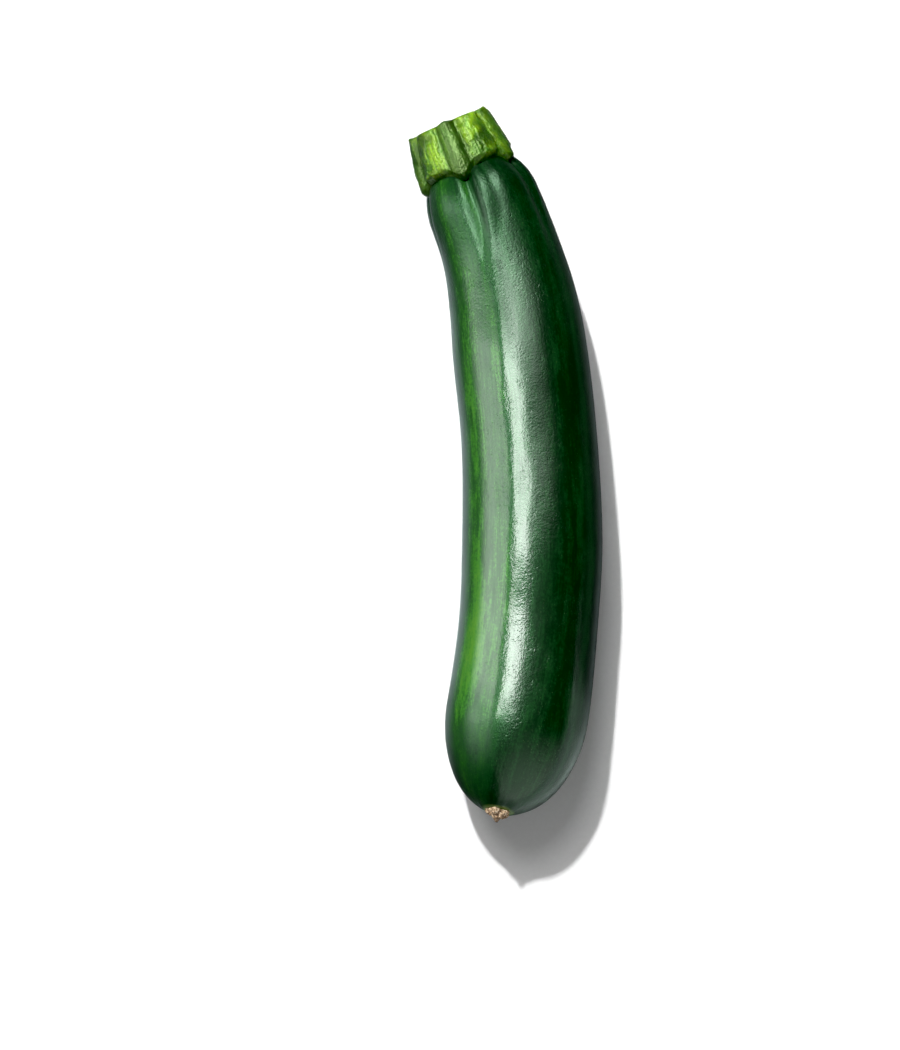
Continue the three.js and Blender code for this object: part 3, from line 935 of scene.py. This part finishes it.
def knife_cut_flesh(colours):
    """Flesh of the stalk where the knife went through: moist pale pith inside a ring of green strands."""
    material = bpy.data.materials.new("Stalk flesh, knife cut")
    add = empty_nodes(material)
    solid = add("TexCoord").outputs["Object"]
    share, turn = point_values(add, "cut_share", "round_stalk")

    # Rings of colour from the pith out to the rind, with wobbling edges.
    clouds = add("TexNoise", Vector=solid, Scale=700.0, Detail=4.0)
    wobble = add("MapRange", clouds, *NOISE_SPAN, -0.06, 0.06)
    share = add("Math", share, wobble, operation="ADD")
    rings = add("ValToRGB", share)
    set_stops(
        rings,
        (0.0, colours.flesh_pith),
        (0.4, colours.flesh_pith),
        (0.6, colours.flesh_pale),
        (0.82, colours.flesh_green),
        (0.93, colours.stalk_lime),
        (1.0, colours.stalk_groove),
    )

    # Darker strands, evenly spaced round their ring.
    wave = add("Math", turn, math.radians(STRANDS), operation="MULTIPLY")
    wave = add("Math", wave, operation="COSINE")
    on_strand = add("MapRange", wave, 0.35, 0.95)
    off_ring = add("Math", share, STRAND_RING, operation="SUBTRACT")
    off_ring = add("Math", off_ring, operation="ABSOLUTE")
    in_ring = add("MapRange", off_ring, 0.08, 0.03, 0.0, 0.6)
    strand = add("Math", on_strand, in_ring, operation="MULTIPLY")
    fine = add("TexNoise", Vector=solid, Scale=2600.0, Detail=2.0)
    shader = add(
        "BsdfPrincipled",
        Base_Color=cover(add, rings, (strand, None, colours.stalk_leaf)),
        Roughness=0.38,
        IOR=1.38,
        Normal=add("Bump", Height=fine, Strength=1.0, Distance=0.00006),
        Subsurface_Weight=0.3,
        Subsurface_Radius=(0.6, 1.0, 0.4),
        Subsurface_Scale=0.002,
    )
    add("OutputMaterial", Surface=shader)
    return material


def dried_cork(colours):
    """Wound cork of the flower scar: dry, matt and cracked, tan on the lumps and brown in the cracks."""
    material = bpy.data.materials.new("Scar cork, dried")
    add = empty_nodes(material)
    (place,) = point_values(add, "scar_place", output="Vector")
    (rise,) = point_values(add, "scar_rise")
    clouds = add("TexNoise", Vector=place, Scale=1.9, Detail=5.0, Roughness=0.75)
    cracks = add("TexVoronoi", feature="DISTANCE_TO_EDGE", Vector=place, Scale=1.3)
    tan = add("ValToRGB", clouds)
    set_stops(tan, (0.4, colours.cork_brown), (0.5, colours.cork_tan), (0.6, colours.cork_pale))
    coloured = cover(
        add,
        tan,
        (cracks, (0.1, 0.02, 0.85), colours.cork_brown),
        (rise, (1.45, 1.9, 0.8), colours.cork_brown),
    )
    bump = add("Bump", Height=clouds, Strength=1.0, Distance=0.0002)
    shader = add("BsdfPrincipled", Base_Color=coloured, Roughness=0.85, IOR=1.4, Normal=bump)
    add("OutputMaterial", Surface=shader)
    return material


def matt_card(colours):
    """Studio card under the courgette: matt and nearly white, with no gloss to mirror the fruit."""
    material = bpy.data.materials.new("Studio card, matt")
    add = empty_nodes(material)
    solid = add("TexCoord").outputs["Object"]
    tooth = add("TexNoise", Vector=solid, Scale=900.0, Detail=2.0)
    shade = add("MapRange", tooth, *NOISE_SPAN, 0.97, 1.0)
    lit = add("Mix", 1.0, *MIX_GAP, colours.card, shade, data_type="RGBA", blend_type="MULTIPLY")

    # What the fruit mirrors of the card is painted light and shade: bright close by and dim farther off, but
    # in front of the fruit dim towards the lamps' side and bright towards the pale wall. The places are in
    # metres.
    sides = add("SeparateXYZ", solid)
    ahead, sideways = sides.outputs[0], sides.outputs[1]
    away = add("Math", sideways, operation="ABSOLUTE")
    near = cover(add, colours.card_shaded, (sideways, (-0.01, 0.01, 1.0), colours.card_mirrored))
    beside = cover(add, colours.card_far, (away, (0.062, 0.04, 1.0), near))
    before = cover(add, colours.card_front, (sideways, (-0.03, 0.02, 1.0), colours.card_far))
    mirrored = cover(add, beside, (ahead, (-0.065, -0.095, 1.0), before))
    seen, glossed = (
        add("BsdfPrincipled", Base_Color=colour, Roughness=1.0, Specular_IOR_Level=0.0)
        for colour in (lit, mirrored)
    )
    path = add("LightPath")
    shader = add("MixShader", path.outputs["Is Glossy Ray"], seen, glossed)
    add("OutputMaterial", Surface=shader)
    return material


# ---- Stage ----

CAMERA_PLACE = (-16.4, 14.97, 806.5)  # in millimetres, straight above, with the stalk at the top of the view
CAMERA_LENS = 100.0
CAMERA_SENSOR = 36.0
CAMERA_REACH = (0.01, 50)  # the nearest and farthest places that it sees, in metres
BLACK_POINT = 0.008  # the brightness that is shown as black

CARD_HALF = 0.45  # half the card's side, in metres
KEY_TOWARDS = (0.59, 0.225, 0.8)  # from the fruit to the lamp that throws its shadow
KEY_SIZE, KEY_DISTANCE = 0.08, 2.0  # in metres
DIFFUSER_SIZE, DIFFUSER_DISTANCE = 1.1, 2.1

LAMP_DISTANCE = 1000.0

# The lamps that only reflections show. All angles are in degrees, first along X and then across it: how far
# the lamp leans to +X and turns to +Y from straight up, and its width as the fruit sees it. Then come the
# shares of its width over which its light falls away at each edge, -X, +X, -Y and +Y, and how far its +X
# end is spun towards -Y.
SOFTBOXES = (
    ("overhead box, near half", "overhead", (1.1, 15.6), (13.8, 30.8), (0.24, 0.64, 0.4, 0.0), 0),
    ("overhead box, far half", "overhead_far", (9.6, 13.7), (20.8, 26.6), (0.42, 0.947, 0.42, 0.0), 0),
    ("overhead box, upper end", "overhead_end", (17.5, 9), (43, 35), (0.02, 0.75, 0.5, 0.04), 10),
    ("overhead box, far side", "overhead_side", (24, -18), (50, 56), (0.35, 0.3, 1.0, 0.0), 0),
    ("side box", "side", (10, 66.5), (34, 60), (0.1, 0.55, 0.05, 0.4), 0),
    ("side box, lower end", "side_end", (-16.5, 66), (47, 59), (0.85, 0.0, 0.1, 0.5), 0),
    ("shoulder box", "shoulder", (42, -3), (40, 34), (0.4, 0.5, 0.5, 0.5), 0),
    ("front wall", "wall", (-58, -64), (76, 134), (0.0, 0.5, 0.75, 0.6), 0),
)


def studio_world(studio):
    """White behind the card, soft light from all round on matt surfaces, and a dim room in reflections."""
    world = bpy.data.worlds.new("Studio")
    add = empty_nodes(world)
    path = add("LightPath")
    fill, dim, white = (
        add("Background", Color=(1, 1, 1, 1), Strength=strength)
        for strength in (studio.fill, studio.room, 1.0)
    )
    felt = add("MixShader", path.outputs["Is Glossy Ray"], fill, dim)
    seen = add("MixShader", path.outputs["Is Camera Ray"], felt, white)
    add("OutputWorld", Surface=seen)
    return world


def softbox(name, towards, spread, brightness, fades, spin):
    """A rectangular lamp for reflections only, placed by angle as the table of softboxes says."""
    lamp = bpy.data.lights.new(name, "AREA")
    lamp.shape = "RECTANGLE"
    widths = (2 * LAMP_DISTANCE * MM * math.tan(math.radians(wide / 2)) for wide in spread)
    lamp.size, lamp.size_y = widths
    lamp.energy = brightness * math.pi * lamp.size * lamp.size_y
    lean, turn = (math.radians(part) for part in towards)
    back = Vector((math.sin(lean), math.cos(lean) * math.sin(turn), math.cos(lean) * math.cos(turn)))
    along = (Vector((1, 0, 0)) - back * back.x).normalized()
    turned = Matrix((along, back.cross(along), back)).transposed().to_4x4()
    turned = turned @ Matrix.Rotation(math.radians(-spin), 4, "Z")
    holder = new_object(name, lamp)
    holder.matrix_world = Matrix.Translation(back * LAMP_DISTANCE * MM) @ turned
    holder.visible_camera = holder.visible_diffuse = False
    add = empty_nodes(lamp)
    sides = add("SeparateXYZ", add("NewGeometry").outputs["Parametric"])
    strength = 1.0
    for side, (start, end) in enumerate(zip(fades[::2], fades[1::2])):
        for edge, inner in ((0.0, start), (1.0, 1 - end)):
            if inner != edge:
                across = sides.outputs[side]
                rise = add("MapRange", across, edge, inner, interpolation_type="SMOOTHSTEP")
                strength = add("Math", rise, strength, operation="MULTIPLY")
    add("OutputLight", Surface=add("Emission", Strength=strength))


class COURGETTE_OT_studio(bpy.types.Operator):
    """Sets up the white card, the lamps, the world and the camera"""

    bl_idname = "courgette.studio"
    bl_label = "Studio"

    def execute(self, context):
        scene = context.scene
        studio = scene.courgette_studio
        mesh = bpy.data.meshes.new("card")
        turns = ((-1, -1), (1, -1), (1, 1), (-1, 1))
        corners = [(CARD_HALF * x, CARD_HALF * y, 0) for x, y in turns]
        mesh.from_pydata(corners, [], [(0, 1, 2, 3)])
        card = new_object("card", mesh)
        card.data.materials.append(matt_card(scene.courgette_colours))

        towards_key = Vector(KEY_TOWARDS).normalized()
        for name, size, distance, strength in (
            ("key lamp", KEY_SIZE, KEY_DISTANCE, studio.key),
            ("key diffuser", DIFFUSER_SIZE, DIFFUSER_DISTANCE, studio.diffuser),
        ):
            lamp = bpy.data.lights.new(name, "AREA")
            lamp.shape, lamp.size = "DISK", size
            lamp.energy = strength * math.pi * lamp.size**2
            holder = new_object(name, lamp)
            holder.location = towards_key * distance
            holder.rotation_euler = towards_key.to_track_quat("Z", "Y").to_euler()
            holder.visible_camera = holder.visible_glossy = False
        for name, setting, towards, spread, fades, spin in SOFTBOXES:
            softbox(name, towards, spread, getattr(studio, setting), fades, spin)

        lens = bpy.data.cameras.new("camera")
        lens.lens = CAMERA_LENS
        lens.sensor_width = CAMERA_SENSOR
        lens.clip_start, lens.clip_end = CAMERA_REACH
        camera = new_object("camera", lens)
        camera.location = Vector(CAMERA_PLACE) * MM
        camera.rotation_euler = (0, 0, -math.pi / 2)
        scene.camera = camera
        scene.world = studio_world(studio)
        view = scene.view_settings
        view.view_transform, view.use_curve_mapping = "Standard", True
        view.curve_mapping.black_level = (BLACK_POINT,) * 3
        view.curve_mapping.update()
        return {"FINISHED"}


# ---- Settings, panel and registration ----


def colour(name, description, code):
    return bpy.props.FloatVectorProperty(
        name=name, description=description, subtype="COLOR", size=4, min=0, max=1, default=linear(code)
    )


def length(name, description, millimetres):
    return bpy.props.FloatProperty(
        name=name, description=description, unit="LENGTH", min=0, precision=6, default=millimetres * MM
    )


def brightness(name, description, value):
    return bpy.props.FloatProperty(name=name, description=description, min=0, default=value)


class CourgetteSizes(bpy.types.PropertyGroup):
    skin_waves: length("Skin waves", "Height of the long low waves of the skin", 0.11)
    skin_dimples: length("Skin dimples", "Depth of the small dimples of the skin", 0.012)
    crease_depth: length("Crease depth", "Depth of the fine crease in each furrow", 0.01)
    neck_rib: length("Neck rib", "Height of the thin ribs in each furrow below the stalk", 0.36)
    stalk_grain: length("Stalk grain", "Height of the warts and fibres of the stalk", 0.17)


class CourgetteColours(bpy.types.PropertyGroup):
    # rind_deep also paints the shade along the stalk's edge, and rind_dark the shade in each crease.
    rind_deep: colour("Rind, deep", "Darkest green of the skin", "#071e0b")
    rind_dark: colour("Rind, dark", "Dark green of the skin", "#123617")
    rind_leaf: colour("Rind, leaf", "Middle green of the skin", "#1a4714")
    rind_pale: colour("Rind, pale", "Palest green of the skin", "#336e1e")
    rind_bright: colour("Rind, bright", "Yellow green strands of the pale side", "#467a20")
    rind_fleck: colour("Rind, flecks", "Small pale flecks in the skin", "#7fae6a")
    rind_streak: colour("Rind, streaks", "Yellow green streaks and the ring round the scar", "#7c9a3c")
    stalk_rib: colour("Stalk, ribs", "Tops of the main ribs", "#41662a")
    # Also the colour of the painted shade in the grooves, pits, outer ribs and lower edge.
    stalk_groove: colour("Stalk, grooves", "Grooves beside the ribs", "#16330a")
    stalk_leaf: colour("Stalk, panels", "Panels between the ribs", "#36660e")
    stalk_pale: colour("Stalk, pale", "The stalk where its rind is thin and dry", "#55862a")
    # Also painted as light on the wart tops.
    stalk_lime: colour("Stalk, lime", "Patches near the cut", "#86ac10")
    flesh_pith: colour("Flesh, pith", "Middle of the cut", "#a9b87a")
    flesh_pale: colour("Flesh, pale", "Flesh round the pith", "#9fb462")
    flesh_green: colour("Flesh, green", "Flesh under the rind", "#6f9a2c")
    cork_tan: colour("Cork, tan", "Lumps of the scar", "#c4a078")
    cork_pale: colour("Cork, pale", "Highest places of the scar", "#f0dcbc")
    cork_brown: colour("Cork, brown", "Cracks of the scar", "#38240f")
    card: colour("Card", "The studio card", "#f4f4f4")
    # The card's mirrored colours are painted light and shade, which only reflections show.
    card_mirrored: colour("Card, mirrored", "The studio card as the fruit mirrors it", "#a4b4b4")
    card_far: colour("Card, mirrored, far side", "The same where little light reaches it", "#343838")
    card_shaded: colour("Card, mirrored, shaded", "The same close by, away from the lamps", "#525a5a")
    card_front: colour("Card, mirrored, in front", "The same in front of the pale wall", "#cedcd8")


class CourgetteStudio(bpy.types.PropertyGroup):
    key: brightness("Key lamp", "Brightness of the small lamp that throws the shadow", 2060.0)
    diffuser: brightness("Key diffuser", "Brightness of the wide soft light round the key lamp", 5.4)
    overhead: brightness("Overhead box, near half", "Brightness of the box mirrored along the top", 19.5)
    overhead_far: brightness("Overhead box, far half", "Brightness of its half towards the stalk", 16.0)
    overhead_end: brightness("Overhead box, upper end", "Brightness of its long upper end", 7.0)
    overhead_side: brightness("Overhead box, far side", "Brightness of its soft far side", 7.5)
    side: brightness("Side box", "Brightness of the box mirrored along the left flank", 3.5)
    side_end: brightness("Side box, lower end", "Brightness of its dimmer end", 3.9)
    shoulder: brightness("Shoulder box", "Brightness of the soft box mirrored below the stalk", 20.0)
    wall: brightness("Front wall", "Brightness of the pale wall in front", 2.4)
    fill: brightness("Fill", "Brightness of the soft light from all round", 0.27)
    room: brightness("Room", "Brightness of the room in reflections", 0.03)


OPERATORS = (COURGETTE_OT_fruit, COURGETTE_OT_stalk, COURGETTE_OT_blossom_scar, COURGETTE_OT_studio)


class COURGETTE_PT_build(bpy.types.Panel):
    """Lists the pieces of the courgette and their settings"""

    bl_label = "Courgette"
    bl_space_type = "VIEW_3D"
    bl_region_type = "UI"
    bl_category = "Courgette"

    def draw(self, context):
        for operator in OPERATORS:
            self.layout.operator(operator.bl_idname)
        for group in ("courgette_sizes", "courgette_colours", "courgette_studio"):
            settings = getattr(context.scene, group)
            box = self.layout.box()
            for name in settings.__annotations__:
                box.prop(settings, name)


GROUPS = {
    "courgette_sizes": CourgetteSizes,
    "courgette_colours": CourgetteColours,
    "courgette_studio": CourgetteStudio,
}
CLASSES = (*GROUPS.values(), *OPERATORS, COURGETTE_PT_build)


def register():
    for made in CLASSES:
        bpy.utils.register_class(made)
    for name, group in GROUPS.items():
        setattr(bpy.types.Scene, name, bpy.props.PointerProperty(type=group))


def unregister():
    for name in GROUPS:
        delattr(bpy.types.Scene, name)
    for made in reversed(CLASSES):
        bpy.utils.unregister_class(made)


def main():
    register()
    bpy.ops.courgette.studio()
    bpy.ops.courgette.fruit()
    bpy.ops.courgette.stalk()
    bpy.ops.courgette.blossom_scar()


if __name__ == "__main__":
    main()
